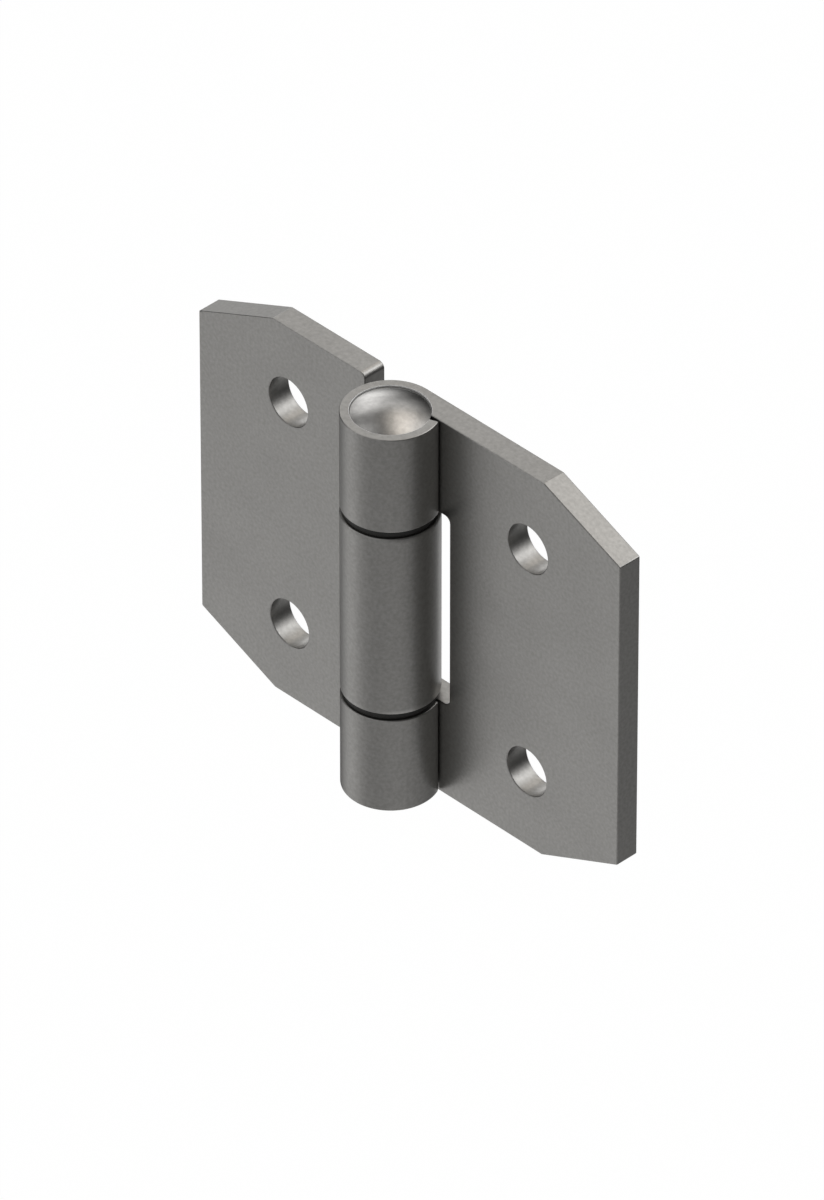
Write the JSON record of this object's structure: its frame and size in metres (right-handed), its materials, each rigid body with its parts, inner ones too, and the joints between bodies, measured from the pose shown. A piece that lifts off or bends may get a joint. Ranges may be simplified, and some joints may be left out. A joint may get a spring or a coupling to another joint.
{
  "type": "flat hinge",
  "caption": "Flat plate hinge with two rolled steel leaves, chamfered outer corners, round screw holes and a riveted pin with sunk domed heads.",
  "frame": {"origin": "on the pin's axis at mid height, which is the centre of the whole hinge lying flat open", "axes": "+Z along the pin, upwards. +X across the leaves, towards the leaf that carries the pin. +Y towards the backs of the leaves, square to them, where the hinge is screwed on"},
  "size_m": [0.129, 0.022, 0.103],
  "materials": {
    "leaf_steel": "fine-grained satin stainless steel",
    "pin_steel": "burnished stainless steel, riveted over",
    "washer_plastic": "black"
  },
  "bodies": {
    "frame_side": {"frame_leaf": "leaf_steel", "hinge_pin": "pin_steel", "upper_washer": "washer_plastic", "lower_washer": "washer_plastic"},
    "door_side": {"door_leaf": "leaf_steel"}
  },
  "joints": [
    {"name": "leaf_swing", "type": "hinge", "parent": "frame_side", "child": "door_side", "pos_m": [0, 0, 0], "axis": [0, 0, 1], "range_deg": [-98, 187]}
  ]
}
